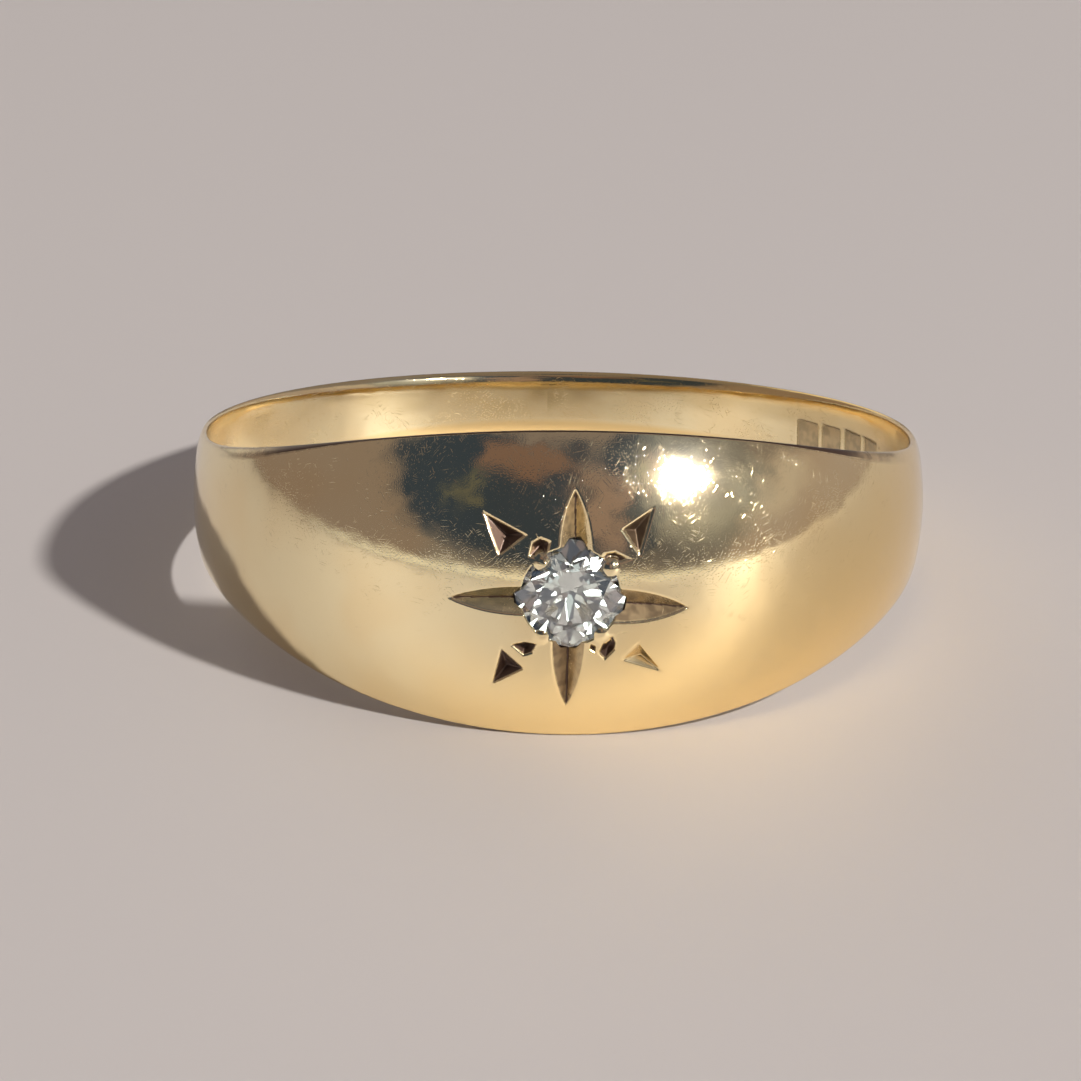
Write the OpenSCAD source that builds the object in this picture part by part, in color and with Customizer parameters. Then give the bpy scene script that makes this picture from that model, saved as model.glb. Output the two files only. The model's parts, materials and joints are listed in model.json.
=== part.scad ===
// Flush set gypsy ring: a domed gold band that narrows to the back, with one round brilliant
// let into its front inside a cut star.
// The ring lies on its lower rim. The origin is on the surface it lies on, under the middle of the ring.
// Its front, with the stone, faces -Y.

/* [Finger bore] */
// Inside diameter of the ring
bore_d = 18.6; // [15:0.1:22]

/* [Band] */
// Thickness of the metal at the middle of the front
front_t = 1.8; // [1.75:0.05:2.6]
// Thickness of the metal at the two sides
side_t = 0.4; // [0.35:0.05:1.2]
// Thickness of the metal at the back
back_t = 0.45; // [0.35:0.05:1.2]
// Thickness of the rim at the middle of the front
edge_t = 0.5; // [0.3:0.05:1]
// Width of the band at the front, from rim to rim
front_w = 8; // [7:0.1:9.5]
// Width of the band at the sides
side_w = 3.1; // [2.2:0.1:3.6]
// Width of the band at the back
back_w = 1.8; // [1:0.1:2.2]
// Radius of the sweep of each rim from the sides to the front
shoulder_r = 25; // [20:1:30]

/* [Stone] */
// Diameter of the stone at its girdle
stone_d = 2.8; // [2.4:0.05:3]
// Diameter of the table, corner to corner
table_d = 1.6; // [1.3:0.05:1.8]
// Thickness of the girdle
girdle_t = 0.08; // [0.04:0.01:0.14]
// Slope of the crown's main facets
crown_angle = 34.5; // [30:0.5:38]
// Slope of the pavilion's main facets
pavilion_angle = 41; // [39:0.5:43]
// Height of the table above the middle of the dome
table_rise = 0; // [-0.1:0.01:0.1]

/* [Setting] */
// Gap between the stone and the metal around it
stone_gap = 0.03; // [0.02:0.005:0.05]
// How far the metal is rubbed over the girdle
lip = 0.15; // [0.08:0.01:0.22]
// Diameter of the drilled hole under the stone
pilot_d = 1.3; // [1:0.05:1.6]
// Radius of the grains raised over the stone
grain_r = 0.24; // [0.18:0.01:0.3]
// How far a grain stands out of the dome
grain_rise = 0.07; // [0.04:0.01:0.12]

/* [Cut star] */
// Distance of a full ray's tip from the middle of the stone
ray_l = 3.1; // [2.7:0.05:3.4]
// Width of a full ray beside the stone
ray_w = 0.9; // [0.6:0.05:1.1]
// Depth of the rays beside the stone
ray_depth = 0.4; // [0.25:0.05:0.5]
// Length of a full corner cut
corner_l = 1; // [0.7:0.05:1.2]
// Width of a full corner cut at its foot
corner_w = 0.8; // [0.5:0.05:1]
// Depth of the corner cuts
corner_depth = 0.26; // [0.15:0.01:0.35]
// Length of a full notch behind a grain
notch_l = 0.7; // [0.5:0.05:0.9]
// Width of a full notch
notch_w = 0.3; // [0.2:0.02:0.4]
// Depth of the notches
notch_depth = 0.22; // [0.12:0.01:0.3]

/* [Blank punch marks] */
// Width and height of each blank mark on the inside of the band
mark_size = 0.8; // [0.5:0.05:1]
// Depth of the marks
mark_depth = 0.06; // [0.03:0.01:0.1]

/* [Hidden] */
$fn = 120;

// The dome is an ellipsoid. Its centre lies dome_y from the bore's axis.
bore_r = bore_d / 2;
dome_y = (back_t - front_t) / 2;
dome_a = bore_r + side_t;
dome_b = bore_r + (back_t + front_t) / 2;
rim_y = -(bore_r + edge_t);
dome_c = front_w / 2 / sqrt(1 - pow((rim_y - dome_y) / dome_b, 2));

// Seen from the side, each rim is a straight taper that runs into an arc towards the front.
taper = (side_w - back_w) / 2 / bore_r;
taper_angle = atan(taper);
flare = (front_w / 2 - taper_z(rim_y)) * cos(taper_angle);
arc_run = sqrt(2 * shoulder_r * flare - flare * flare);
up = [sin(taper_angle), cos(taper_angle)];
along = [cos(taper_angle), -sin(taper_angle)];
knee = [rim_y, front_w / 2] - up * flare + along * arc_run;
arc_centre = knee + up * shoulder_r;
reach = bore_r + max(front_t, back_t) + 1;

function taper_z(y) = back_w / 2 + taper * (bore_r - y);
function rim_z(y) = y > knee[0]
    ? taper_z(y)
    : arc_centre[1] - sqrt(pow(shoulder_r, 2) - pow(y - arc_centre[0], 2));
function back_rim_y(y, tries) = tries == 0
    ? y
    : back_rim_y(dome_y + dome_b * sqrt(1 - pow(rim_z(y) / dome_c, 2)), tries - 1);

// The ring lies on the lowest points of its rim at the front and at the back.
heel_y = back_rim_y(bore_r, 6);
heel_z = rim_z(heel_y);
rest_angle = atan((front_w / 2 - heel_z) / (heel_y - rim_y));
rest_z = front_w / 2 * cos(rest_angle) + rim_y * sin(rest_angle);
front_end = dome_y * cos(rest_angle) - norm([dome_b * cos(rest_angle), dome_c * sin(rest_angle)]);
back_end = heel_y * cos(rest_angle) + heel_z * sin(rest_angle);

// The stone's heights are counted from the top of its girdle.
stone_r = stone_d / 2;
table_r = table_d / 2;
crown_h = (stone_r - table_r) * tan(crown_angle);
pavilion_h = stone_r * tan(pavilion_angle);
girdle_z = table_rise - crown_h;
half_step = 22.5;
star_r = (stone_r + table_r * cos(half_step)) / 2;
star_z = (stone_r - star_r * cos(half_step)) * tan(crown_angle);
lower_share = 0.22;
lower_r = stone_r * lower_share;
lower_z = -girdle_t - (stone_r - lower_r * cos(half_step)) * tan(pavilion_angle);
crown_slope = star_z / (stone_r - star_r);
pavilion_slope = (-girdle_t - lower_z) / (stone_r - lower_r);

// The pocket keeps stone_gap clear of the stone on every side.
pocket_r = stone_r + stone_gap;
opening_r = stone_r - lip;
pocket_foot = -girdle_t - stone_gap;
pilot_r = pilot_d / 2;
pilot_z = pocket_foot - (pocket_r - pilot_r) * pavilion_slope;

// How far a straight cutter runs past the metal, and how many times its depth a pointed one reaches.
above = 1;
overshoot = 2;

// Each ray: angle of the tip, angle beside the stone, share of ray_l, share of ray_w.
RAYS = [
    [-7, -14, 0.98, 1.05],
    [88, 82, 0.87, 0.95],
    [183, 187, 1, 0.85],
    [269, 268, 1.01, 1]
];
// A ray starts inside the opening and narrows from its waist to its tip. ray_waist is the waist's
// place between the two, and waist_share is how much width and depth is left there.
start_share = 0.7;
ray_start = opening_r * start_share;
ray_waist = 0.65;
waist_share = 0.68;

// Each corner cut: angle and distance of its foot in stone radii, direction of its point,
// share of corner_l, share of corner_w.
CORNERS = [
    [42, 1.45, 55, 0.97, 0.97],
    [139, 1.38, 135, 1.05, 1.05],
    [231, 1.62, 237, 0.88, 0.98],
    [314, 1.58, 323, 0.88, 0.78]
];
// Where a corner cut is deepest, from its foot to its point.
deepest = 0.3;

// Each notch: angle and distance of its middle in stone radii, direction it runs in,
// share of notch_l, share of notch_w.
NOTCHES = [
    [44, 1.1, -8, 1.1, 0.6],
    [124, 1.1, 56, 0.95, 0.95],
    [231, 1.29, 3, 0.97, 1],
    [306, 1.24, 72, 1, 1]
];

// Each grain: angle, and distance of its middle in stone radii.
GRAINS = [[38, 0.9], [131, 0.88], [236, 0.93], [306, 0.88]];

// Each punch mark's angle from the middle of the front, and its height above the band's middle line.
MARKS = [[130, -0.05], [124, 0], [117.8, 0.05], [111.9, 0.05]];

function polar(r, angle) = [r * cos(angle), r * sin(angle)];
function dome_z(p) = dome_b * (sqrt(1 - pow(p[0] / dome_a, 2) - pow(p[1] / dome_c, 2)) - 1);
function on_dome(p) = [p[0], p[1], dome_z(p)];
function sunk(p, depth) = [p[0], p[1], dome_z(p) - depth];
function beyond(from, p) = from + overshoot * (p - from);

// Puts the ring, modelled round an upright bore at the origin, down on its lower rim.
module resting() {
    translate([0, -(front_end + back_end) / 2, rest_z])
        rotate([-rest_angle, 0, 0])
            children();
}

// Local frame of the star: X to the right, Y up the front, Z out of the dome.
module on_front() {
    translate([0, -(bore_r + front_t), 0])
        rotate([90, 0, 0])
            children();
}

module side_outline() {
    polygon([
        [-reach, -taper_z(-reach)],
        [reach, -taper_z(reach)],
        [reach, taper_z(reach)],
        [-reach, taper_z(-reach)]
    ]);
    difference() {
        translate([-reach, -front_w])
            square([reach + knee[0], 2 * front_w]);
        for (side = [-1, 1])
            translate([arc_centre[0], side * arc_centre[1]])
                circle(r = shoulder_r);
    }
}

module dome() {
    intersection() {
        translate([0, dome_y, 0])
            scale([dome_a / dome_b, 1, dome_c / dome_b])
                sphere(r = dome_b);
        rotate([90, 0, 90])
            linear_extrude(height = 2 * reach, center = true)
                side_outline();
    }
}

// Room round the stone, with the drilled hole below it. Over the stone it narrows along the crown
// to mouth_r, and is straight from there.
module stone_room(mouth_r) {
    translate([0, 0, girdle_z])
        rotate_extrude()
            polygon([
                [0, -front_t - above],
                [pilot_r, -front_t - above],
                [pilot_r, pilot_z],
                [pocket_r, pocket_foot],
                [pocket_r, stone_gap],
                [mouth_r, stone_gap + (pocket_r - mouth_r) * crown_slope],
                [mouth_r, crown_h + above],
                [0, crown_h + above]
            ]);
}

// A pointed cut with flat walls from its deepest point to the points of its outline.
module pointed_cut(deep, outline) {
    count = len(outline);
    polyhedron(
        points = concat([deep], [for (p = outline) beyond(deep, p)]),
        faces = concat(
            [[for (i = [count:-1:1]) i]],
            [for (i = [0:count - 1]) [0, i + 1, (i + 1) % count + 1]]
        )
    );
}

// A ray is a V groove that keeps most of its width as far as its waist.
module ray(tip_angle, start_angle, length_share, width_share) {
    tip = polar(ray_l * length_share, tip_angle);
    start = polar(ray_start, start_angle);
    waist = start + (tip - start) * ray_waist;
    side = [start[1] - tip[1], tip[0] - start[0]] / norm(tip - start);
    half = ray_w * width_share / 2;
    keel_start = sunk(start, ray_depth);
    keel_waist = sunk(waist, ray_depth * waist_share);
    points = [
        keel_start,
        beyond(keel_start, on_dome(start + side * half)),
        beyond(keel_start, on_dome(start - side * half)),
        keel_waist,
        beyond(keel_waist, on_dome(waist + side * half * waist_share)),
        beyond(keel_waist, on_dome(waist - side * half * waist_share)),
        beyond(keel_waist, on_dome(tip))
    ];
    faces = [
        [0, 1, 2],
        [0, 3, 4], [0, 4, 1],
        [0, 2, 5], [0, 5, 3],
        [3, 6, 4], [3, 5, 6],
        [1, 4, 5], [1, 5, 2], [4, 6, 5]
    ];
    polyhedron(points = points, faces = faces);
}

// A three cornered cut that points away from the stone.
module corner_cut(angle, distance, turn, length_share, width_share) {
    foot = polar(stone_r * distance, angle);
    point = foot + polar(corner_l * length_share, turn);
    half = polar(corner_w * width_share / 2, turn + 90);
    pointed_cut(
        sunk(foot + (point - foot) * deepest, corner_depth),
        [on_dome(point), on_dome(foot + half), on_dome(foot - half)]
    );
}

// A four cornered cut behind a grain.
module notch(angle, distance, turn, length_share, width_share) {
    middle = polar(stone_r * distance, angle);
    half_l = polar(notch_l * length_share / 2, turn);
    half_w = polar(notch_w * width_share / 2, turn + 90);
    pointed_cut(
        sunk(middle, notch_depth),
        [
            on_dome(middle + half_l),
            on_dome(middle + half_w),
            on_dome(middle - half_l),
            on_dome(middle - half_w)
        ]
    );
}

module grain(angle, distance) {
    middle = polar(stone_r * distance, angle);
    translate([middle[0], middle[1], dome_z(middle) + grain_rise - grain_r])
        sphere(r = grain_r);
}

module star_cuts() {
    for (row = RAYS)
        ray(row[0], row[1], row[2], row[3]);
    for (row = CORNERS)
        corner_cut(row[0], row[1], row[2], row[3], row[4]);
    for (row = NOTCHES)
        notch(row[0], row[1], row[2], row[3], row[4]);
}

// Blank punch marks, with a flat floor, on the inside of the band.
module marks() {
    for (row = MARKS)
        rotate([0, 0, row[0] - 90])
            translate([bore_r - above + mark_depth, -mark_size / 2, row[1] - mark_size / 2])
                cube([above, mark_size, mark_size]);
}

module band() {
    color("gold")
        resting() {
            difference() {
                dome();
                cylinder(r = bore_r, h = 2 * front_w, center = true);
                marks();
                on_front() {
                    stone_room(opening_r);
                    star_cuts();
                }
            }
            on_front()
                difference() {
                    for (row = GRAINS)
                        grain(row[0], row[1]);
                    stone_room(table_r);
                }
        }
}

// Round brilliant: table, 8 stars, 8 kites, 16 upper halves, 16 lower halves and 8 mains.
module brilliant() {
    corners = [for (i = [0:7]) 45 * i];
    points = concat(
        [for (a = corners) [table_r * cos(a), table_r * sin(a), crown_h]],
        [for (a = corners) [star_r * cos(a + half_step), star_r * sin(a + half_step), star_z]],
        [for (i = [0:15]) [stone_r * cos(half_step * i), stone_r * sin(half_step * i), 0]],
        [for (i = [0:15]) [stone_r * cos(half_step * i), stone_r * sin(half_step * i), -girdle_t]],
        [for (a = corners) [lower_r * cos(a + half_step), lower_r * sin(a + half_step), lower_z]],
        [[0, 0, -girdle_t - pavilion_h]]
    );
    table = 0;
    star = 8;
    top = 16;
    bottom = 32;
    lower = 48;
    culet = 56;
    faces = concat(
        [[for (i = [7:-1:0]) table + i]],
        [for (i = [0:7]) [table + i, table + (i + 1) % 8, star + i]],
        [for (i = [0:7]) [table + i, star + i, top + 2 * i, star + (i + 7) % 8]],
        [for (i = [0:7]) [star + i, top + 2 * i + 1, top + 2 * i]],
        [for (i = [0:7]) [star + i, top + (2 * i + 2) % 16, top + 2 * i + 1]],
        [for (i = [0:15]) [top + i, top + (i + 1) % 16, bottom + (i + 1) % 16, bottom + i]],
        [for (i = [0:7]) [lower + i, bottom + 2 * i, bottom + 2 * i + 1]],
        [for (i = [0:7]) [lower + i, bottom + 2 * i + 1, bottom + (2 * i + 2) % 16]],
        [for (i = [0:7]) [culet, lower + (i + 7) % 8, bottom + 2 * i, lower + i]]
    );
    polyhedron(points = points, faces = faces);
}

module stone() {
    color("aliceblue")
        resting()
            on_front()
                translate([0, 0, girdle_z])
                    brilliant();
}

band();
stone();
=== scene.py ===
# Looks of the flush set gypsy ring: worn polished gold, a hand cut star and a brilliant, on a pale floor.
import json
from math import cos, pi, radians, sin, sqrt, tan

import bmesh
import bpy
import numpy as np
from mathutils import Matrix, Vector


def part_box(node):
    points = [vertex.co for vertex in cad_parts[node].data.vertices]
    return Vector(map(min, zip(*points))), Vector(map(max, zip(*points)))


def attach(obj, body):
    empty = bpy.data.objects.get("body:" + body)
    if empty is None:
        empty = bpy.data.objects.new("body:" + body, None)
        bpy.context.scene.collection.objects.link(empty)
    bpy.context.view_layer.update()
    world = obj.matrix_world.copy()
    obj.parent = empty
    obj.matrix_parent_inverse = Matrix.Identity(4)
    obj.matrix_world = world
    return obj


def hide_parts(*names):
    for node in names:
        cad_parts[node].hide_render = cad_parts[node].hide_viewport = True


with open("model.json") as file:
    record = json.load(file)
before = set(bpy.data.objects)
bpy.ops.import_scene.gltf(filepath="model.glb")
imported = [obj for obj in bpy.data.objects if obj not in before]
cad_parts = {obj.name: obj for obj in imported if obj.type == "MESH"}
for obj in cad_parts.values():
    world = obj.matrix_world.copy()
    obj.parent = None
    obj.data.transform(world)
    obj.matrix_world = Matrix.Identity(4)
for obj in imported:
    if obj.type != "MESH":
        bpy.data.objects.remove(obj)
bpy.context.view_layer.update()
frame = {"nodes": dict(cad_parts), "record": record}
MM = 0.001

# The ring is worked out in millimetres round an upright bore: Z up the bore, -Y the front.
# The record's bore says how that frame lies in the row's.
BORE = next(mount for mount in frame["record"]["mounts"] if mount["name"] == "finger_bore")
BORE_R = BORE["dims"]["r_mm"]
BORE_AXIS = Vector(BORE["axis"]).normalized()
BORE_CENTRE = Vector(BORE["pos_m"])

# Band, in millimetres: its thickness (T) and width (W) at the front, the sides and the back, the rim's
# thickness at the front, and the radius of the sweep of the shoulders.
FRONT_T = 1.8
SIDE_T = 0.4
BACK_T = 0.45
EDGE_T = 0.5
FRONT_W = 8.0
SIDE_W = 3.1
BACK_W = 1.8
SHOULDER_R = 25.0
# Rounding of the rim, crisp at the front and worn from the shoulders to the back: how far it reaches
# down the dome and down the bore, and the share of the rim's thickness that each takes.
CRISP_EDGE = (0.07, 0.07, 0.15, 0.15)
WORN_EDGE = (0.34, 0.5, 0.38, 0.6)
WEAR_FROM = radians(28)
WEAR_FULL = radians(62)

# Stone and setting. The turn is half the angle between two of the stone's main facets.
STONE_R = (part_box("stone")[1].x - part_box("stone")[0].x) / 2 / MM
TABLE_R = 0.8
GIRDLE_T = 0.08
CROWN_ANGLE = radians(34.5)
PAVILION_ANGLE = radians(41)
FACET_TURN = radians(22.5)
STONE_GAP = 0.03
LIP = 0.15
LIP_ROUND = 0.05
PILOT_R = 0.65
GRAIN_R = 0.29
GRAIN_RISE = 0.06
GRAIN_FALL = 2.2
GRAIN_REACH = 0.2

# Cut star. A ray starts under the stone, at this share of the opening's radius.
RAY_START = 0.7
RAY_L = 3.1
RAY_W = 0.9
RAY_DEPTH = 0.4
RAY_CURVE = 2.6
CUT_ROUND = 0.03
# Radius of the round patch of mesh that holds the star, and the depth that stands for no cut.
STAR_R = 3.3
NO_CUT = -1.0

# Each ray: angle of the tip, angle beside the stone, share of RAY_L, share of RAY_W, and how much
# grime with painted shade lies on its left and its right wall, seen towards the tip: one wall is painted
# darker for how light falls.
RAYS = [
    (-7, -14, 0.98, 1.05, 0.6, 0.85),
    (88, 82, 0.87, 0.95, 0.75, 0.1),
    (183, 187, 1.0, 0.85, 0.55, 0.2),
    (269, 268, 1.01, 1.0, 0.55, 0.88),
]
# Depth at which the grime and painted shade start, how quickly they set in, and how far full painted shade
# fills the keel of a ray.
GRIME_SHADE_START = 0.025
GRIME_SHADE_RAMP = 0.035
KEEL_SHADE_W = 0.025
# Share of a ray's run where its tip starts to darken, and where it is all dark.
TIP_DARKENING = (0.6, 0.95)
# Edges bent by more than this are left sharp, such as the keel of a ray.
SHARP_ANGLE = radians(35)

# Each pointed cut: its deepest point from the middle of the stone, its depth in mm, how much grime and
# painted shade lie in it, and its outline. First the four three cornered cuts, then the notches and the
# pit near the stone.
POINTED_CUTS = [
    ((-1.60, 1.46), 0.33, 1.0, [(-2.25, 2.08), (-1.08, 1.53), (-1.82, 0.95)]),
    ((1.62, 1.62), 0.28, 0.95, [(2.09, 2.20), (1.25, 1.69), (1.73, 1.0)]),
    ((-1.56, -1.93), 0.28, 1.0, [(-1.98, -2.54), (-1.09, -1.97), (-1.74, -1.36)]),
    ((1.80, -1.64), 0.25, 0.35, [(2.39, -2.13), (1.30, -1.71), (1.73, -1.24)]),
    ((-0.8, 1.24), 0.24, 1.0, [
        (-1.08, 0.98), (-1.0, 1.36), (-0.77, 1.5), (-0.5, 1.4), (-0.56, 1.12), (-0.8, 0.95),
    ]),
    ((1.05, 1.0), 0.18, 1.0, [
        (0.72, 0.98), (0.82, 1.12), (1.1, 1.16), (1.52, 0.94), (1.15, 0.84), (0.9, 0.86),
    ]),
    ((-1.12, -1.4), 0.24, 1.0, [
        (-1.52, -1.3), (-1.14, -1.2), (-0.78, -1.25), (-0.92, -1.53), (-1.16, -1.62),
    ]),
    ((0.97, -1.36), 0.22, 1.0, [
        (0.7, -1.52), (0.86, -1.1), (1.1, -0.98), (1.2, -1.2), (1.16, -1.42), (0.88, -1.74),
    ]),
    ((0.58, -1.37), 0.12, 1.0, [(0.48, -1.42), (0.5, -1.22), (0.68, -1.3), (0.66, -1.5)]),
]

# Each grain: angle, and distance of its middle in stone radii.
GRAINS = [(36, 0.88), (130, 0.8), (236, 0.93), (308, 0.92)]

# Blank punch marks inside the band: angle from the middle of the front, and height.
MARKS = [(130, -0.05), (124, 0.0), (117.8, 0.05), (111.9, 0.05)]
MARK_SIZE = 0.8
MARK_DEPTH = 0.06
MARK_SOFT = 0.04
# How dark the marks are, in step with their depth.
MARK_DARKENING = 0.5
# Painted shade on the rim's flat and its outer rounding at the front, standing for the dark that the
# polished rim mirrors, and the angles from the front where it ends.
RIM_PAINTED_SHADE = 1.0
RIM_PAINTED_SHADE_FADE = (radians(45), radians(70))

# Mesh steps. Columns are in degrees round the band, finer near the marks and this far past them.
COLUMN_STEP = 2.0
MARK_STEP = 0.3
MARK_PAST = 4
OUTER_ROWS = 28
BORE_ROWS = 36
ROUND_STEPS = 6
LAND_STEPS = 2
SPOKES = 640
RINGS = 72
LIP_RINGS = 6
PILOT_SPOKES = 80
MARGIN = 0.04
# Rounds in finding where the rim meets the dome, and steps in finding the metal's edge over the stone.
RIM_PASSES = 8
EDGE_STEPS = 40
# Heights and points closer than this, in mm, are the same. A point of the plain dome takes the dome's own
# normal where the mesh's lies within this angle of it.
SAME_HEIGHT = 1e-6
SAME_POINT = 1e-5
PLAIN_BEND = radians(12)


def ring_to_row():
    """Takes the ring's own frame, in millimetres, to the row's frame, in metres."""
    x_axis = Vector((1, 0, 0))
    y_axis = BORE_AXIS.cross(x_axis)
    turn = Matrix((x_axis, y_axis, BORE_AXIS)).transposed().to_4x4()
    return Matrix.Translation(BORE_CENTRE) @ turn @ Matrix.Scale(MM, 4)


# The dome is an ellipsoid, and each rim is a straight taper that runs into an arc.
DOME_Y = (BACK_T - FRONT_T) / 2
DOME_A = BORE_R + SIDE_T
DOME_B = BORE_R + (BACK_T + FRONT_T) / 2
RIM_Y = -(BORE_R + EDGE_T)
DOME_C = FRONT_W / 2 / sqrt(1 - ((RIM_Y - DOME_Y) / DOME_B) ** 2)
TAPER = (SIDE_W - BACK_W) / 2 / BORE_R


def taper_z(y):
    """Half the band's width on the straight taper."""
    return BACK_W / 2 + TAPER * (BORE_R - y)


def shoulder_arc():
    """Where the arc of the rim starts, and its centre, in the side view."""
    along = Vector((1, -TAPER)).normalized()
    up = Vector((-along.y, along.x))
    flare = (FRONT_W / 2 - taper_z(RIM_Y)) * along.x
    run = sqrt(2 * SHOULDER_R * flare - flare**2)
    knee = Vector((RIM_Y, FRONT_W / 2)) - up * flare + along * run
    return knee, knee + up * SHOULDER_R


KNEE, ARC_CENTRE = shoulder_arc()


def rim_z(y):
    """Half the band's width where the rim passes y."""
    arc = ARC_CENTRE.y - np.sqrt(np.maximum(SHOULDER_R**2 - (y - ARC_CENTRE.x) ** 2, 0))
    return np.where(y > KNEE.x, taper_z(y), arc)


def outer_radius(angle, z):
    """Distance from the bore's axis to the dome, at an angle from the front and a height."""
    square = (np.sin(angle) / DOME_A) ** 2 + (np.cos(angle) / DOME_B) ** 2
    middle = np.cos(angle) * DOME_Y / DOME_B**2
    rest = (DOME_Y / DOME_B) ** 2 + (z / DOME_C) ** 2 - 1
    return (-middle + np.sqrt(middle**2 - square * rest)) / square


def dome_normal(points):
    """Outward directions of the dome at its points."""
    normal = (points - [0, DOME_Y, 0]) / np.array([DOME_A, DOME_B, DOME_C]) ** 2
    return normal / np.linalg.norm(normal, axis=-1, keepdims=True)


def bend(start, corner, end):
    """Points along a rounded corner, with its two ends."""
    t = np.linspace(0, 1, ROUND_STEPS + 1)[:, None, None]
    return (1 - t) ** 2 * start + 2 * t * (1 - t) * corner + t**2 * end


def smooth_share(value, start, end):
    """0 before the start, 1 after the end, and a smooth step between."""
    t = np.clip((value - start) / (end - start), 0, 1)
    return t * t * (3 - 2 * t)


def mark_depth(angle, z):
    """How deep the punch marks are sunk in the bore's wall."""
    depth = np.zeros(np.broadcast(angle, z).shape)
    for mark_angle, height in MARKS:
        across = np.abs(angle - radians(mark_angle)) * BORE_R
        off = np.maximum(across, np.abs(z - height)) - MARK_SIZE / 2
        depth = np.maximum(depth, MARK_DEPTH * smooth_share(-off, -MARK_SOFT / 2, MARK_SOFT / 2))
    return depth


def section_rows(angle):
    """The band's section at each angle, as rows of (distance from the axis, height) once round it."""
    rim_r = outer_radius(angle, np.zeros_like(angle))
    for _ in range(RIM_PASSES):
        rim_r = outer_radius(angle, rim_z(-rim_r * np.cos(angle)))

    def land(radius):
        return np.stack([radius, rim_z(-radius * np.cos(angle))], axis=-1)

    def dome(z):
        return np.stack([outer_radius(angle, z), z], axis=-1)

    wear = smooth_share(np.abs(angle), WEAR_FROM, WEAR_FULL)
    down_dome, down_bore, outer_share, inner_share = (
        crisp + (worn - crisp) * wear for crisp, worn in zip(CRISP_EDGE, WORN_EDGE)
    )
    rim = land(rim_r)
    foot = land(np.full_like(angle, BORE_R))
    dome_z = rim[:, 1] - down_dome
    wall_z = foot[:, 1] - down_bore
    share = np.linspace(1, -1, OUTER_ROWS + 1)[:, None]
    outer = dome(dome_z * share)
    land_in = land(BORE_R + (rim_r - BORE_R) * inner_share)
    land_out = land(rim_r - (rim_r - BORE_R) * outer_share)
    wall_top = np.stack([foot[:, 0], wall_z], axis=-1)
    steps = np.linspace(0, 1, LAND_STEPS + 2)[:, None, None]
    upper = np.concatenate([
        bend(wall_top, foot, land_in),
        (land_in * (1 - steps) + land_out * steps)[1:-1],
        bend(land_out, rim, dome(dome_z)),
    ])
    lower = upper[::-1] * [1, -1]
    height = wall_z * np.linspace(-1, 1, BORE_ROWS + 1)[:, None]
    wall = np.stack([BORE_R + mark_depth(angle, height), height], axis=-1)
    rows = np.concatenate([outer[:-1], lower[:-1], wall[:-1], upper[:-1]])
    return rows, len(outer) - 1, len(outer) - 1 + len(lower) - 1


def place(angle, rows):
    """Rows of (distance from the axis, height) as points of the ring."""
    radius = rows[..., 0]
    return np.stack([radius * np.sin(angle), -radius * np.cos(angle), rows[..., 1]], axis=-1)


def dome_height(x, y):
    """Height of the plain dome above its own middle, in the star's frame."""
    return DOME_B * (np.sqrt(1 - (x / DOME_A) ** 2 - (y / DOME_C) ** 2) - 1)


def ray_depth(x, y, tip_angle, start_angle, length_share, width_share, grime_shade_left, grime_shade_right):
    """Depth of a V groove whose sides curve in to its tip, negative outside it, and its share of grime and
    painted shade.
    """
    start_r = (STONE_R - LIP) * RAY_START
    start = Vector((cos(radians(start_angle)), sin(radians(start_angle)))) * start_r
    tip = Vector((cos(radians(tip_angle)), sin(radians(tip_angle)))) * RAY_L * length_share
    line = (tip - start).normalized()
    along = ((x - start.x) * line.x + (y - start.y) * line.y) / (tip - start).length
    side = (y - start.y) * line.x - (x - start.x) * line.y
    half = RAY_W * width_share / 2
    slope = RAY_DEPTH / half
    depth = slope * (half * (1 - np.maximum(along, 0) ** RAY_CURVE) - np.abs(side))
    # Painted shade: one wall darker than the other as light falls on it, the keel dark as a crease, and
    # the tip darkening.
    film = np.where(side > 0, grime_shade_left, grime_shade_right)
    film = np.where(np.abs(side) < KEEL_SHADE_W, 1, film)
    film = np.maximum(film, smooth_share(along, *TIP_DARKENING))
    return np.where(along < 0, NO_CUT, depth), film


def pointed_depth(x, y, deepest, depth, outline):
    """Depth of a pointed cut with a flat wall on each side of its outline."""
    result = np.full_like(x, depth)
    centre = Vector(deepest)
    for start, end in zip(outline, outline[1:] + outline[:1]):
        start, side = Vector(start), (Vector(end) - Vector(start)).normalized()
        inward = Vector((-side.y, side.x))
        if (centre - start).dot(inward) < 0:
            inward = -inward
        reach = (centre - start).dot(inward)
        inside = (x - start.x) * inward.x + (y - start.y) * inward.y
        result = np.minimum(result, depth * inside / reach)
    return result


def softened(depth, radius):
    """The depth where it is positive, rolled over at the edge of the cut."""
    rolled = (depth + radius) ** 2 / (4 * radius)
    return np.where(np.abs(depth) < radius, rolled, np.maximum(depth, 0))


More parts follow.
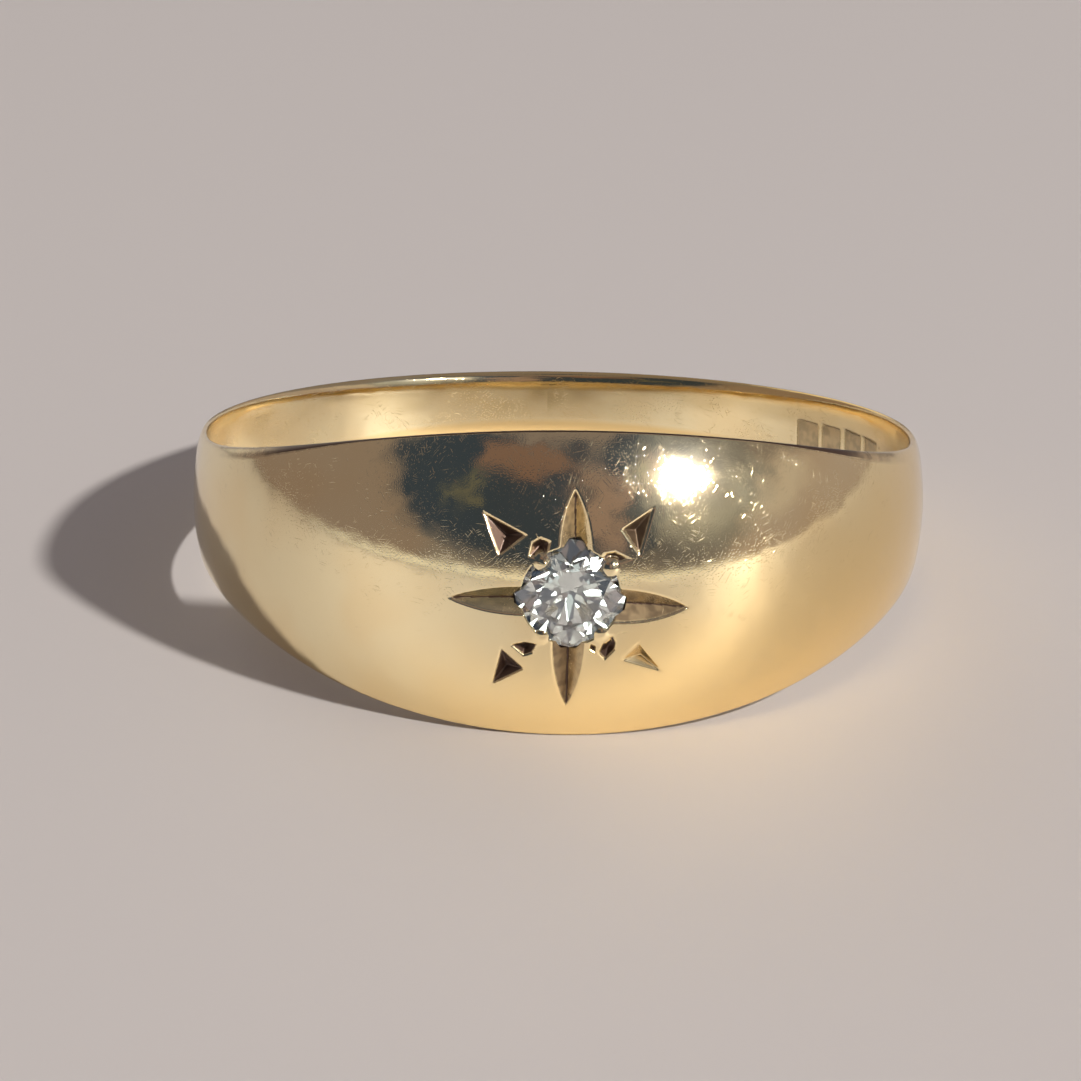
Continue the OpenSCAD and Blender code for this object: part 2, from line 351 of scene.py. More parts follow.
def star_surface(x, y):
    """Height of the dome with the star cut in it and the grains raised, and the share of grime and painted
    shade on it.
    """
    depth = np.full_like(x, NO_CUT)
    level = np.zeros_like(x)
    for row in RAYS:
        ray, ray_grime_shade = ray_depth(x, y, *row)
        level = np.where(ray > depth, ray_grime_shade, level)
        depth = np.maximum(depth, ray)
    for deepest, cut_depth, cut_grime_shade, outline in POINTED_CUTS:
        cut = pointed_depth(x, y, deepest, cut_depth, outline)
        level = np.where(cut > depth, cut_grime_shade, level)
        depth = np.maximum(depth, cut)
    # Grime and painted shade set in with the depth of a cut, as shade falls in it.
    film = level * smooth_share(depth, GRIME_SHADE_START, GRIME_SHADE_START + GRIME_SHADE_RAMP)
    height = dome_height(x, y) - softened(depth, CUT_ROUND)
    for angle, distance in GRAINS:
        centre = Vector((cos(radians(angle)), sin(radians(angle)))) * STONE_R * distance
        away = ((x - centre.x) ** 2 + (y - centre.y) ** 2) / GRAIN_R**2
        grain = dome_height(x, y) + GRAIN_RISE * (1 - GRAIN_FALL * away)
        rise = np.where(away < 1, softened(grain - height, CUT_ROUND), 0)
        height = height + rise
        film = np.where(rise > CUT_ROUND, 0, film)
    return height, film


def opening_radius(spoke):
    """Radius of the opening over the stone, drawn in where a grain reaches over it."""
    radius = np.full_like(spoke, STONE_R - LIP)
    for angle, distance in GRAINS:
        off = (spoke - radians(angle) + pi) % (2 * pi) - pi
        far = STONE_R * distance
        inside = GRAIN_REACH**2 - (far * np.sin(off)) ** 2
        near = far * np.cos(off) - np.sqrt(np.maximum(inside, 0))
        reaches = (inside > 0) & (np.abs(off) < pi / 2)
        radius = np.where(reaches, np.minimum(radius, near), radius)
    return radius


def stone_room():
    """Radii and heights of the room round the stone, in the star's frame."""
    crown_h = (STONE_R - TABLE_R) * tan(CROWN_ANGLE)
    star_r = (STONE_R + TABLE_R * cos(FACET_TURN)) / 2
    star_z = (STONE_R - star_r * cos(FACET_TURN)) * tan(CROWN_ANGLE)
    pocket_r = STONE_R + STONE_GAP
    return {
        "pocket_r": pocket_r,
        "crown_slope": star_z / (STONE_R - star_r),
        "top": STONE_GAP - crown_h,
        "foot": -crown_h - GIRDLE_T - STONE_GAP,
        "pilot": -crown_h - GIRDLE_T - STONE_GAP - (pocket_r - PILOT_R) * tan(PAVILION_ANGLE),
    }


def on_front(x, y, height):
    """Points of the star's frame, X right, Y up and height out of the dome, as points of the ring."""
    return np.stack([x, -(BORE_R + FRONT_T) - height, y], axis=-1)


def star_rings():
    """Rings of points from the rim of the star's round patch in to the drilled hole, and their grime and
    painted shade.
    """
    spoke = np.linspace(-pi, pi, SPOKES, endpoint=False)
    room = stone_room()

    def under_lip(radius):
        return room["top"] + (room["pocket_r"] - radius) * room["crown_slope"]

    edge = opening_radius(spoke)
    step = (room["pocket_r"] - edge) / EDGE_STEPS
    for _ in range(EDGE_STEPS):
        height, _grime_shade = star_surface(edge * np.cos(spoke), edge * np.sin(spoke))
        edge = np.where(height < under_lip(edge), np.minimum(edge + step, room["pocket_r"]), edge)
    quarter = np.linspace(0, pi / 2, LIP_RINGS + 1)
    lip_steps = LIP_ROUND * (1 - np.cos(quarter))
    share = np.linspace(0, 1, RINGS + 1)[1:]
    out = [edge + step for step in lip_steps]
    out += [out[-1] + (STAR_R - out[-1]) * s for s in share]
    rings, grime_shades = [], []
    for radius in reversed(out):
        height, film = star_surface(radius * np.cos(spoke), radius * np.sin(spoke))
        near = np.clip(1 - (radius - edge) / LIP_ROUND, 0, 1)
        room_left = np.clip(height - under_lip(edge), 0, LIP_ROUND)
        height = height - room_left * (1 - np.sqrt(np.maximum(1 - near**2, 0)))
        rings.append(on_front(radius * np.cos(spoke), radius * np.sin(spoke), height))
        grime_shades.append(film)
    edge_height = -(rings[-1][:, 1] + BORE_R + FRONT_T)
    inner = [
        (edge, np.minimum(edge_height, under_lip(edge))),
        (0 * edge + room["pocket_r"], np.minimum(edge_height, room["top"])),
        (0 * edge + room["pocket_r"], 0 * edge + room["foot"]),
    ]
    # The walls of the stone's pocket take full painted shade.
    for radius, height in inner:
        rings.append(on_front(radius * np.cos(spoke), radius * np.sin(spoke), height))
        grime_shades.append(0 * spoke + 1)
    return spoke, rings, grime_shades, room


def grid_faces(rows, columns, closed_rows):
    """Quads over a grid of points, numbered row by row, that closes along each row."""
    last = rows if closed_rows else rows - 1
    row, column = np.meshgrid(np.arange(last), np.arange(columns), indexing="ij")
    up, right = (row + 1) % rows, (column + 1) % columns
    quads = [row * columns + column, row * columns + right, up * columns + right, up * columns + column]
    return np.stack([q.ravel() for q in quads], axis=-1)


def zip_loops(ids_a, angles_a, ids_b, angles_b):
    """Triangles between two loops round one centre, from the angle of each point."""
    a = [(angle, i) for angle, i in sorted(zip(angles_a, ids_a))]
    b = [(angle, i) for angle, i in sorted(zip(angles_b, ids_b))]
    a.append((a[0][0] + 2 * pi, a[0][1]))
    b.append((b[0][0] + 2 * pi, b[0][1]))
    faces, i, j = [], 0, 0
    while i < len(a) - 1 or j < len(b) - 1:
        if j == len(b) - 1 or (i < len(a) - 1 and a[i + 1][0] <= b[j + 1][0]):
            faces.append((a[i][1], a[i + 1][1], b[j][1]))
            i += 1
        else:
            faces.append((a[i][1], b[j + 1][1], b[j][1]))
            j += 1
    return faces


def open_hole(faces, points, radius, inside_rows):
    """Drops the quads of a grid that touch a round hole in the front, and gives the loop left round it."""
    from_middle = np.hypot(points[:, 0], points[:, 2])
    hit = (from_middle < radius + MARGIN) & (points[:, 1] < 0) & inside_rows
    gone = hit[faces].any(axis=1)
    loop = np.intersect1d(faces[gone].ravel(), faces[~gone].ravel())
    return faces[~gone], loop, np.arctan2(points[loop, 2], points[loop, 0])


def band_mesh():
    """The band as one closed mesh: points, faces, shares at each point, and which are plain dome."""
    marks = np.array([angle for angle, _ in MARKS])
    near_marks = np.arange(marks.min() - MARK_PAST, marks.max() + MARK_PAST, MARK_STEP)
    all_round = np.arange(-180, 180, COLUMN_STEP)
    angle = np.radians(np.union1d(np.round(all_round, 6), np.round(near_marks, 6)))
    rows, outer_end, wall_start = section_rows(angle)
    count, columns = rows.shape[:2]
    body = place(angle, rows)
    points = body.reshape(-1, 3)
    row_of = np.repeat(np.arange(count), columns)
    on_outer = row_of <= outer_end
    on_wall = (row_of >= wall_start) & (row_of <= wall_start + BORE_ROWS)
    faces = grid_faces(count, columns, True)
    faces, outer_loop, outer_angles = open_hole(faces, points, STAR_R, on_outer)
    faces, wall_loop, wall_angles = open_hole(faces, points, PILOT_R, on_wall)

    spoke, rings, grime_shades, room = star_rings()
    star_start = len(points)
    star = np.concatenate(rings)
    star_faces = grid_faces(len(rings), SPOKES, False) + star_start
    last_ring = star_start + (len(rings) - 1) * SPOKES

    pilot_start = star_start + len(star)
    pilot = np.linspace(-pi, pi, PILOT_SPOKES, endpoint=False)
    x, y = PILOT_R * np.cos(pilot), PILOT_R * np.sin(pilot)
    pilot_top = on_front(x, y, 0 * x + room["pilot"])
    pilot_end = np.stack([x, -np.sqrt(BORE_R**2 - x**2), y], axis=-1)
    pilot_faces = grid_faces(2, PILOT_SPOKES, False) + pilot_start
    end_ids = pilot_start + PILOT_SPOKES + np.arange(PILOT_SPOKES)

    zips = zip_loops(outer_loop, outer_angles, star_start + np.arange(SPOKES), spoke)
    zips += zip_loops(last_ring + np.arange(SPOKES), spoke, pilot_start + np.arange(PILOT_SPOKES), pilot)
    zips += zip_loops(wall_loop, wall_angles, end_ids, pilot)

    points = np.concatenate([points, star, pilot_top, pilot_end])
    body_grime_shade = np.zeros((count, columns))
    wall_rows = slice(wall_start, wall_start + BORE_ROWS + 1)
    # The marks are darker in step with their depth.
    body_grime_shade[wall_rows] = (rows[wall_rows, :, 0] - BORE_R) / MARK_DEPTH * MARK_DARKENING
    # Painted shade on the front rim, for the dark it mirrors, fading towards the sides.
    rim_rows = slice(count - ROUND_STEPS - LAND_STEPS, count)
    body_grime_shade[rim_rows] = RIM_PAINTED_SHADE * (1 - smooth_share(np.abs(angle), *RIM_PAINTED_SHADE_FADE))
    # The drilled hole under the stone takes full painted shade.
    film = np.concatenate([body_grime_shade.ravel(), np.concatenate(grime_shades), np.ones(2 * PILOT_SPOKES)])
    inside = np.zeros(len(points))
    inside[:star_start] = on_wall
    upper = np.zeros(len(points))
    upper[:star_start] = (rows[..., 1] / rows[..., 1].max(axis=0)).ravel()
    plain = np.zeros(len(points), bool)
    plain[:star_start] = on_outer
    star_height, _grime_shade = star_surface(star[:, 0], star[:, 2])
    cut_in = star_height - dome_height(star[:, 0], star[:, 2])
    plain[star_start:pilot_start] = np.abs(cut_in) < SAME_HEIGHT
    all_faces = [tuple(f) for f in np.concatenate([faces, star_faces, pilot_faces]).tolist()] + zips
    return points, all_faces, {"film": film, "inside": inside, "upper": upper}, plain


def make_mesh(name, points, faces, shares, plain):
    """A smooth mesh in the row's frame. Points on the plain dome take the dome's own normal."""
    mesh = bpy.data.meshes.new(name)
    mesh.from_pydata(points.tolist(), [], faces)
    for share_name, values in shares.items():
        attribute = mesh.attributes.new(share_name, "FLOAT", "POINT")
        attribute.data.foreach_set("value", values.astype(np.float32))
    plain_points = mesh.attributes.new("plain", "BOOLEAN", "POINT")
    plain_points.data.foreach_set("value", plain)
    obj = bpy.data.objects.new(name, mesh)
    bpy.context.scene.collection.objects.link(obj)
    shape = bmesh.new()
    shape.from_mesh(mesh)
    loose = [v for v in shape.verts if not v.link_faces]
    bmesh.ops.delete(shape, geom=loose, context="VERTS")
    bmesh.ops.remove_doubles(shape, verts=shape.verts, dist=SAME_POINT)
    bmesh.ops.recalc_face_normals(shape, faces=shape.faces)
    shape.to_mesh(mesh)
    shape.free()
    mesh.shade_smooth()
    count = len(mesh.vertices)
    co = np.zeros(count * 3)
    mesh.vertices.foreach_get("co", co)
    co = co.reshape(-1, 3)
    normals = np.zeros(count * 3, np.float32)
    mesh.vertex_normals.foreach_get("vector", normals)
    normals = normals.reshape(-1, 3)
    is_plain = np.zeros(count, bool)
    mesh.attributes["plain"].data.foreach_get("value", is_plain)
    exact = dome_normal(co)
    close = (exact * normals).sum(axis=1) > cos(PLAIN_BEND)
    exact[~(is_plain & close)] = 0
    to_row = ring_to_row()
    mesh.transform(to_row)
    mesh.set_sharp_from_angle(angle=SHARP_ANGLE)
    turned = exact @ np.array(to_row.to_3x3().normalized()).T
    mesh.normals_split_custom_set_from_vertices(turned.tolist())
    return obj


class Nodes:
    """Short calls for building one node tree."""

    def __init__(self, tree):
        self.tree = tree

    def add(self, kind, values=None, **settings):
        """A node with its settings and socket values. A value that is a socket is linked."""
        node = self.tree.nodes.new(kind)
        for name, value in settings.items():
            setattr(node, name, value)
        for name, value in (values or {}).items():
            self.put(node.inputs[name], value)
        return node

    def put(self, socket, value):
        if isinstance(value, bpy.types.NodeSocket):
            self.tree.links.new(value, socket)
        else:
            socket.default_value = value

    def math(self, operation, *values):
        node = self.add("ShaderNodeMath", operation=operation)
        for socket, value in zip(node.inputs, values):
            self.put(socket, value)
        return node.outputs["Value"]

    def step(self, value, low, high, to_low=0.0, to_high=1.0):
        """Smooth step of a value from low to high."""
        values = {"Value": value, "From Min": low, "From Max": high, "To Min": to_low, "To Max": to_high}
        return self.add("ShaderNodeMapRange", values, interpolation_type="SMOOTHSTEP").outputs["Result"]

    def mix(self, factor, a, b):
        """Colour from a to b, which are the node's inputs 6 and 7, with the result in its output 2."""
        node = self.add("ShaderNodeMix", data_type="RGBA")
        self.put(node.inputs["Factor"], factor)
        self.put(node.inputs[6], a)
        self.put(node.inputs[7], b)
        return node.outputs[2]

    def noise(self, vector, scale, roughness=0.5):
        values = {"Vector": vector, "Scale": scale, "Detail": 1.0, "Roughness": roughness}
        return self.add("ShaderNodeTexNoise", values).outputs["Fac"]

    def patches(self, vector, scale, low, high):
        """Soft patches, from the noise at which they start to the noise at which they are full."""
        return self.step(self.noise(vector, scale), low, high)

    def attribute(self, name):
        return self.add("ShaderNodeAttribute", attribute_name=name).outputs["Fac"]

    def coords(self):
        """Object coordinates in millimetres."""
        place = self.add("ShaderNodeTexCoord").outputs["Object"]
        return self.add("ShaderNodeMapping", {"Vector": place, "Scale": (1 / MM,) * 3}).outputs["Vector"]


# Gold: two pale tones in soft clouds, a warmer one low down and to the right as a painted warm glow of
# reflected light, and a dull one as painted shade inside.
PALE_GOLD = (0.97, 0.80, 0.47, 1)
BRIGHT_GOLD = (0.99, 0.86, 0.54, 1)
PAINTED_GLOW_GOLD = (0.94, 0.71, 0.34, 1)
INSIDE_SHADE_GOLD = (0.60, 0.44, 0.20, 1)
# Grime and painted shade: the two tones of its patches, and the one that it takes where its share passes
# from the first of these numbers to the second.
GRIME_SHADE_DARK = (0.11, 0.06, 0.035, 1)
GRIME_SHADE_LIGHT = (0.42, 0.30, 0.17, 1)
GRIME_SHADE_DEEP = (0.075, 0.04, 0.025, 1)
GRIME_SHADE_DEEPENS = (0.75, 1.0)
# Patches: scale per mm, and the noise where they start and where they are full.
CLOUDS = (0.45, 0.35, 0.65)
GRIME_SHADE_PATCHES = (4.0, 0.35, 0.65)
WORN_PATCHES = (0.7, 0.38, 0.66)
# The painted warm glow sets in between two sums of a place's mm down and this share of its mm to the
# right.
GLOW_LEAN = 0.35
GLOW_RANGE = (-4.5, -0.5)
# Painted shade in dull streaks high up inside the band: stretch, scale and weight of their noise, the
# range over which they set in, and their strength.
STREAK_STRETCH = (0.5, 0.9, 1)
STREAK_SCALE = 0.8
STREAK_WEIGHT = 3.2
STREAK_RANGE = (1.5, 2.4)
STREAK_STRENGTH = 0.45
# Roughness where the gold is bright and where it is worn, and what scratches, grime and painted shade, and
# the inside add.
ROUGHNESS = (0.045, 0.1)
SCRATCH_ROUGHNESS = 0.12
GRIME_SHADE_ROUGHNESS = 0.28
INSIDE_ROUGHNESS = 0.14
GRIME_SHADE_METALLIC = 0.7
# Bump: the share of the scratches' depth that is left where the gold is bright, the noise and share of the
# fine grain, the strength and depth in mm of both, and the scale and depth in mm of the dents.
BRIGHT_SCRATCH = 0.35
FINE_SCALE = 24.0
FINE_ROUGHNESS = 0.7
FINE_SHARE = 0.35
FINE_STRENGTH = 0.6
FINE_DEPTH = 0.0035
DENT_SCALE = 1.3
DENT_DEPTH = 0.012
# Scratches waver by up to this, in mm, over a noise of this scale per mm.
SWAY = 0.9
SWAY_SCALE = 0.5
# Each family of scratches: its turn from the band's run in degrees, spacing along and across in mm, reach
# as a share of that spacing, the share of places that hold one, and depth as a share of the deepest.
SCRATCHES = [
    (58, 0.8, 0.03, 0.22, 0.10, 1.0),
    (35, 0.5, 0.036, 0.2, 0.12, 1.0),
    (8, 0.9, 0.03, 0.22, 0.07, 1.0),
    (-40, 0.6, 0.036, 0.22, 0.09, 1.0),
    (-50, 0.09, 0.033, 0.30, 0.09, 1.0),
    (10, 0.07, 0.05, 0.45, 0.4, 0.55),
]
# Radius at which the dome is unrolled flat to draw the scratches and streaks.
UNROLL_R = 9.7


def unrolled(nodes, coords):
    """Distance round the band and height on it, in millimetres."""
    part = nodes.add("ShaderNodeSeparateXYZ", {"Vector": coords})
    back = nodes.math("MULTIPLY", part.outputs["Y"], -1.0)
    turn = nodes.math("ARCTAN2", part.outputs["X"], back)
    run = nodes.math("MULTIPLY", turn, UNROLL_R)
    flat = nodes.add("ShaderNodeCombineXYZ", {"X": run, "Y": part.outputs["Z"]})
    return flat.outputs["Vector"]


def scratch_mask(nodes, flat):
    """Where scratches cross the surface, deepest in their middle."""
    total = None
    for turn, along, across, reach, share, depth in SCRATCHES:
        turned = nodes.add("ShaderNodeMapping", {"Vector": flat, "Rotation": (0, 0, radians(-turn))})
        scale = {"Vector": turned.outputs["Vector"], "Scale": (1 / along, 1 / across, 1)}
        squeezed = nodes.add("ShaderNodeMapping", scale).outputs["Vector"]
        cells = {"Vector": squeezed, "Scale": 1.0}
        cells = nodes.add("ShaderNodeTexVoronoi", cells, voronoi_dimensions="2D")
        pick = nodes.add("ShaderNodeSeparateColor", {"Color": cells.outputs["Color"]}).outputs["Red"]
        kept = nodes.math("MULTIPLY", nodes.math("LESS_THAN", pick, share), depth)
        line = nodes.math("MULTIPLY", nodes.step(cells.outputs["Distance"], reach, 0.0), kept)
        total = line if total is None else nodes.math("MAXIMUM", total, line)
    return total


def scratch_depth(nodes, flat, worn):
    """Scratches that waver a little, deeper where the gold is worn."""
    sway = {"Vector": flat, "Scale": SWAY_SCALE, "Detail": 1.0}
    sway = nodes.add("ShaderNodeTexNoise", sway).outputs["Color"]
    moved = {0: sway, 1: (SWAY,) * 3, 2: flat}
    swayed = nodes.add("ShaderNodeVectorMath", moved, operation="MULTIPLY_ADD")
    mask = scratch_mask(nodes, swayed.outputs["Vector"])
    return nodes.math("MULTIPLY", mask, nodes.step(worn, 0, 1, BRIGHT_SCRATCH, 1))


def metal_tone(nodes, coords, flat, inside):
    """Pale gold in soft clouds, with a painted warm glow of reflected light low down and to the right, and
    streaks of painted shade high up inside.
    """
    tone = nodes.mix(nodes.patches(coords, *CLOUDS), PALE_GOLD, BRIGHT_GOLD)
    # Painted warm glow of reflected light, low down and to the right, and none inside.
    part = nodes.add("ShaderNodeSeparateXYZ", {"Vector": coords})
    down = nodes.math("MULTIPLY", part.outputs["Z"], -1.0)
    glow_place = nodes.math("MULTIPLY_ADD", part.outputs["X"], GLOW_LEAN, down)
    painted_glow = nodes.math("SUBTRACT", nodes.step(glow_place, *GLOW_RANGE), inside)
    tone = nodes.mix(painted_glow, tone, PAINTED_GLOW_GOLD)
    # Painted shade in streaks, stronger higher up the inside.
    stretched = nodes.add("ShaderNodeMapping", {"Vector": flat, "Scale": STREAK_STRETCH}).outputs["Vector"]
    patch = nodes.math("MULTIPLY", nodes.noise(stretched, STREAK_SCALE), STREAK_WEIGHT)
    shade_streak = nodes.step(nodes.math("ADD", patch, nodes.attribute("upper")), *STREAK_RANGE)
    inside_shade = nodes.math("MULTIPLY", nodes.math("MULTIPLY", inside, shade_streak), STREAK_STRENGTH)
    return nodes.mix(inside_shade, tone, INSIDE_SHADE_GOLD)


def grime_shade_tone(nodes, coords, film):
    """Brown grime and painted shade in patches, darker where its share is high."""
    tone = nodes.mix(nodes.patches(coords, *GRIME_SHADE_PATCHES), GRIME_SHADE_DARK, GRIME_SHADE_LIGHT)
    return nodes.mix(nodes.step(film, *GRIME_SHADE_DEEPENS), tone, GRIME_SHADE_DEEP)


def bumps(nodes, coords, scratches):
    """Normal with scratches and a fine grain, over small dents."""
    grain = nodes.math("MULTIPLY", nodes.noise(coords, FINE_SCALE, FINE_ROUGHNESS), FINE_SHARE)
    height = nodes.math("ADD", nodes.math("MULTIPLY", scratches, -1.0), grain)
    fine = {"Height": height, "Strength": FINE_STRENGTH, "Distance": FINE_DEPTH * MM}
    fine = nodes.add("ShaderNodeBump", fine).outputs["Normal"]
    dents = {"Height": nodes.noise(coords, DENT_SCALE), "Strength": 1.0, "Distance": DENT_DEPTH * MM}
    return nodes.add("ShaderNodeBump", {**dents, "Normal": fine}).outputs["Normal"]


def gold():
    """Polished gold, worn soft: fine scratches, small dents, and brown grime with painted shade in the
    cuts.
    """
    material = bpy.data.materials.new("gold")
    material.use_nodes = True
    nodes = Nodes(material.node_tree)
    coords = nodes.coords()
    flat = unrolled(nodes, coords)
    film = nodes.attribute("film")
    inside = nodes.attribute("inside")
    worn = nodes.patches(coords, *WORN_PATCHES)
    scratches = scratch_depth(nodes, flat, worn)
    tone = nodes.mix(film, metal_tone(nodes, coords, flat, inside), grime_shade_tone(nodes, coords, film))
    rough = nodes.step(worn, 0, 1, *ROUGHNESS)
    for place, amount in [
        (scratches, SCRATCH_ROUGHNESS),
        (film, GRIME_SHADE_ROUGHNESS),
        (inside, INSIDE_ROUGHNESS),
    ]:
        rough = nodes.math("ADD", rough, nodes.math("MULTIPLY", place, amount))
    shader = material.node_tree.nodes["Principled BSDF"]
    nodes.put(shader.inputs["Base Color"], tone)
    nodes.put(shader.inputs["Roughness"], rough)
    nodes.put(shader.inputs["Normal"], bumps(nodes, coords, scratches))
    # Less metallic where grime and painted shade lie.
    nodes.put(shader.inputs["Metallic"], nodes.step(film, 0, 1, 1.0, GRIME_SHADE_METALLIC))
    shader.inputs["Coat Weight"].default_value = 0.4
    shader.inputs["Coat Roughness"].default_value = 0.28
    return material


def diamond():
    """Clear stone with a faint green of its own."""
    material = bpy.data.materials.new("diamond")
    material.use_nodes = True
    shader = material.node_tree.nodes["Principled BSDF"]
    shader.inputs["Base Color"].default_value = (0.94, 1, 0.935, 1)
    shader.inputs["Roughness"].default_value = 0.0
    shader.inputs["IOR"].default_value = 2.417
    shader.inputs["Transmission Weight"].default_value = 0.97
    return material


def make_band():
    """The gold band, which takes the place of the solid one."""
    band = make_mesh("gold_band", *band_mesh())
    band.data.materials.append(gold())
    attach(band, "root")
    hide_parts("band")
    return band


def dress_stone():
    """The stone is the solid one, with a material of its own."""
    stone = frame["nodes"]["stone"]
    stone.data.materials.clear()
    stone.data.materials.append(diamond())


# The camera's place, from the middle of the front's bore wall in the ring's own frame: distance in mm,
# then angles.
CAMERA_DISTANCE = 155.0
CAMERA_ELEVATION = radians(15.36)
CAMERA_AZIMUTH = radians(-2.08)
CAMERA_ROLL = radians(0.91)
# Its focal length, how far left of that middle and above it the camera looks, and the frame's width, all
# in pixels.
FOCAL_PX = 6130
LOOK_LEFT_PX = 28.0
LOOK_UP_PX = 38.0
FRAME_PX = 1081
SENSOR_MM = 36


def outward(azimuth, elevation):
    """Direction from the middle at an azimuth from the front, with -Y the front, and an elevation."""
    return Vector((sin(azimuth) * cos(elevation), -cos(azimuth) * cos(elevation), sin(elevation)))


def make_camera():
    """The camera fitted to the photograph, turned so that it needs no shift."""
    back = outward(CAMERA_AZIMUTH, CAMERA_ELEVATION)
    place_mm = Vector((0, -BORE_R, 0)) + back * CAMERA_DISTANCE
    level = (-back).cross(Vector((0, 0, 1))).normalized()
    upright = level.cross(-back)
    right = level * cos(CAMERA_ROLL) + upright * sin(CAMERA_ROLL)
    up = upright * cos(CAMERA_ROLL) - level * sin(CAMERA_ROLL)
    forward = (-back - right * LOOK_LEFT_PX / FOCAL_PX + up * LOOK_UP_PX / FOCAL_PX).normalized()
    right = (right - forward * right.dot(forward)).normalized()
    up = right.cross(forward)
    to_row = ring_to_row()
    turn = to_row.to_3x3().normalized()
    data = bpy.data.cameras.new("camera")
    data.sensor_width = SENSOR_MM
    data.lens = FOCAL_PX * SENSOR_MM / FRAME_PX
    data.clip_start = 0.01
    camera = bpy.data.objects.new("camera", data)
    axes = Matrix((turn @ right, turn @ up, turn @ -forward)).transposed()
    camera.matrix_world = Matrix.Translation(to_row @ place_mm) @ axes.to_4x4()
    bpy.context.scene.collection.objects.link(camera)
    bpy.context.scene.camera = camera


# Half the floor's side, in metres.
FLOOR_HALF = 3.0


def make_floor(height):
    """A plain pale floor with a soft sheen, whose grain runs across the view from the front."""
    mesh = bpy.data.meshes.new("floor")
    low, high = -FLOOR_HALF, FLOOR_HALF
    corners = [(low, low, height), (high, low, height), (high, high, height), (low, high, height)]
    mesh.from_pydata(corners, [], [(0, 1, 2, 3)])
    across = mesh.uv_layers.new(name="across")
    across.data.foreach_set("uv", [0, 0, 1, 0, 1, 1, 0, 1])
    floor = bpy.data.objects.new("floor", mesh)
    bpy.context.scene.collection.objects.link(floor)
    material = bpy.data.materials.new("floor")
    material.use_nodes = True
    nodes = Nodes(material.node_tree)
    shader = material.node_tree.nodes["Principled BSDF"]
    shader.inputs["Base Color"].default_value = (0.70, 0.67, 0.675, 1)
    shader.inputs["Roughness"].default_value = 0.66
    shader.inputs["Metallic"].default_value = 0.22
    shader.inputs["Specular IOR Level"].default_value = 1.0
    shader.inputs["Anisotropic"].default_value = 0.75
    tangent = nodes.add("ShaderNodeTangent", direction_type="UV_MAP", uv_map="across")
    nodes.put(shader.inputs["Tangent"], tangent.outputs["Tangent"])
    mesh.materials.append(material)


# Each light: azimuth from the front and elevation in degrees, size in metres, and power.
LIGHT_DISTANCE = 1.0
SUN = (50, 38, 0.066, 11.0)
SUN_COLOUR = (1, 0.95, 0.88)
# Small soft lights that reach the eye through the stone alone.
STONE_LIGHT_COLOUR = (0.95, 1, 0.95)
STONE_LIGHTS = [
    (-3, 17, 0.3, 0.16),
    (0, 26, 0.26, 1.0),
    (22, 14, 0.26, 1.8),
    (-42, 28, 0.26, 1.8),
    (72, 50, 0.3, 2.2),
    (-75, 12, 0.3, 1.8),
    (2, 66, 0.26, 1.6),
    (42, 6, 0.24, 1.5),
    (-20, -8, 0.2, 1.2),
    (100, 20, 0.3, 1.8),
    (-60, 58, 0.26, 1.6),
]


def make_light(name, colour, azimuth, elevation, size, power):
    """A disc of light that faces the middle of the row's frame."""
    data = bpy.data.lights.new(name, "AREA")
    data.shape = "DISK"
    data.size = size
    data.energy = power
    data.color = colour
    light = bpy.data.objects.new(name, data)
    light.location = outward(radians(azimuth), radians(elevation)) * LIGHT_DISTANCE
    light.rotation_euler = light.location.to_track_quat("Z", "Y").to_euler()
    bpy.context.scene.collection.objects.link(light)
    return light


def light_ring():
    """The sun, and the small lights of the stone, which metal and floor don't show."""
    make_light("sun", SUN_COLOUR, *SUN)
    for number, row in enumerate(STONE_LIGHTS):
        light = make_light(f"stone_light_{number}", STONE_LIGHT_COLOUR, *row)
        light.visible_diffuse = False
        light.visible_glossy = False


# The room that the ring mirrors, painted in order. Each soft ellipse: azimuth from the front and
# elevation of its middle in degrees, half its width and height, its turn, softness of its edge, colour.
ROOM_BASE = (0.20, 0.175, 0.175, 1)
ROOM = [
    (-143, 22, 28, 20, 0, 0.4, (0.80, 0.74, 0.66, 1)),
    (-90, 10, 44, 30, 0, 0.12, (0.235, 0.185, 0.17, 1)),
    (100, 4, 46, 19, 6, 0.15, (0.36, 0.30, 0.285, 1)),
    (75, 18, 20, 8, 0, 0.4, (0.46, 0.40, 0.37, 1)),
    (38, 48, 46, 43, 0, 0.10, (0.115, 0.11, 0.12, 1)),
    (-10, 51, 67, 44, 0, 0.10, (0.036, 0.05, 0.08, 1)),
    (0, 68, 70, 10, 0, 0.3, (0.20, 0.165, 0.165, 1)),
    (-17, 51, 23, 7, 0, 0.25, (0.18, 0.115, 0.10, 1)),
    (13, 32, 9, 20, 0, 0.5, (0.27, 0.20, 0.19, 1)),
    (53, 32, 20, 18, 0, 0.7, (0.40, 0.40, 0.40, 1)),
    (-40, 37, 5, 9, 0, 0.5, (0.11, 0.11, 0.095, 1)),
    (-12, -14, 118, 18, 0, 0.12, (0.80, 0.77, 0.72, 1)),
]
# The outlines waver by up to these degrees, over a noise of this scale, and only well above the horizon:
# the wavering sets in between these elevations.
AZIMUTH_WAVER = 7.0
ELEVATION_WAVER = 4.0
WAVER_SCALE = 7.0
WAVER_DETAIL = 4.0
WAVER_NOISE = (0.25, 0.75)
WAVER_FROM = (2.0, 20.0)


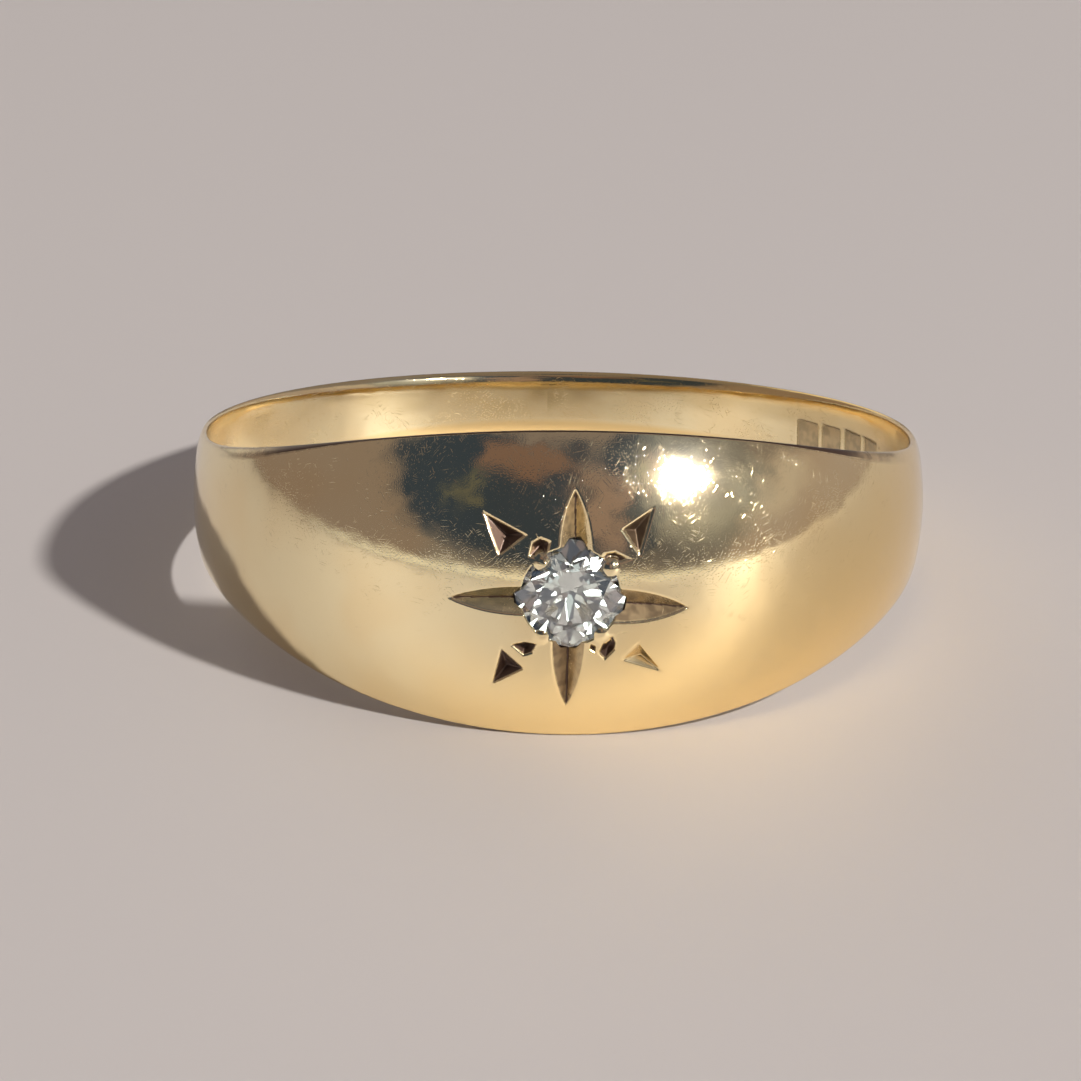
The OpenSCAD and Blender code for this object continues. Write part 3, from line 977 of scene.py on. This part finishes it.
def make_world():
    """A soft studio round the ring: pale low down and behind its left, and dark high over its front."""
    world = bpy.data.worlds.new("studio")
    bpy.context.scene.world = world
    world.use_nodes = True
    nodes = Nodes(world.node_tree)
    direction = nodes.add("ShaderNodeTexCoord").outputs["Generated"]
    part = nodes.add("ShaderNodeSeparateXYZ", {"Vector": direction})
    back = nodes.math("MULTIPLY", part.outputs["Y"], -1.0)
    azimuth = nodes.math("DEGREES", nodes.math("ARCTAN2", part.outputs["X"], back))
    elevation = nodes.math("DEGREES", nodes.math("ARCSINE", part.outputs["Z"]))
    ruffle = {"Vector": direction, "Scale": WAVER_SCALE, "Detail": WAVER_DETAIL}
    ruffle = nodes.add("ShaderNodeTexNoise", ruffle).outputs["Color"]
    waver = nodes.add("ShaderNodeSeparateColor", {"Color": ruffle})
    azimuth_shift = nodes.step(waver.outputs["Red"], *WAVER_NOISE, -AZIMUTH_WAVER, AZIMUTH_WAVER)
    elevation_shift = nodes.step(waver.outputs["Green"], *WAVER_NOISE, -ELEVATION_WAVER, ELEVATION_WAVER)
    high = nodes.step(elevation, *WAVER_FROM)
    azimuth_seen = nodes.math("ADD", azimuth, nodes.math("MULTIPLY", azimuth_shift, high))
    elevation_seen = nodes.math("ADD", elevation, nodes.math("MULTIPLY", elevation_shift, high))
    colour = ROOM_BASE
    for az, el, width, height, turn, soft, tone in ROOM:
        off = nodes.math("SUBTRACT", azimuth_seen, az)
        off = nodes.math("WRAP", off, 180.0, -180.0)
        above = nodes.math("SUBTRACT", elevation_seen, el)
        from_middle = nodes.add("ShaderNodeCombineXYZ", {"X": off, "Y": above}).outputs["Vector"]
        turned = {"Vector": from_middle, "Rotation": (0, 0, radians(-turn))}
        turned = nodes.add("ShaderNodeMapping", turned).outputs["Vector"]
        shaped = {"Vector": turned, "Scale": (1 / width, 1 / height, 1)}
        shaped = nodes.add("ShaderNodeMapping", shaped).outputs["Vector"]
        away = nodes.add("ShaderNodeVectorMath", {0: shaped}, operation="LENGTH").outputs["Value"]
        colour = nodes.mix(nodes.step(away, 1 + soft, 1 - soft), colour, tone)
    background = world.node_tree.nodes["Background"]
    nodes.put(background.inputs["Color"], colour)


make_camera()
band = make_band()
dress_stone()
lowest = min((band.matrix_world @ v.co).z for v in band.data.vertices)
make_floor(lowest)
light_ring()
make_world()
bpy.context.scene.view_settings.view_transform = "Standard"
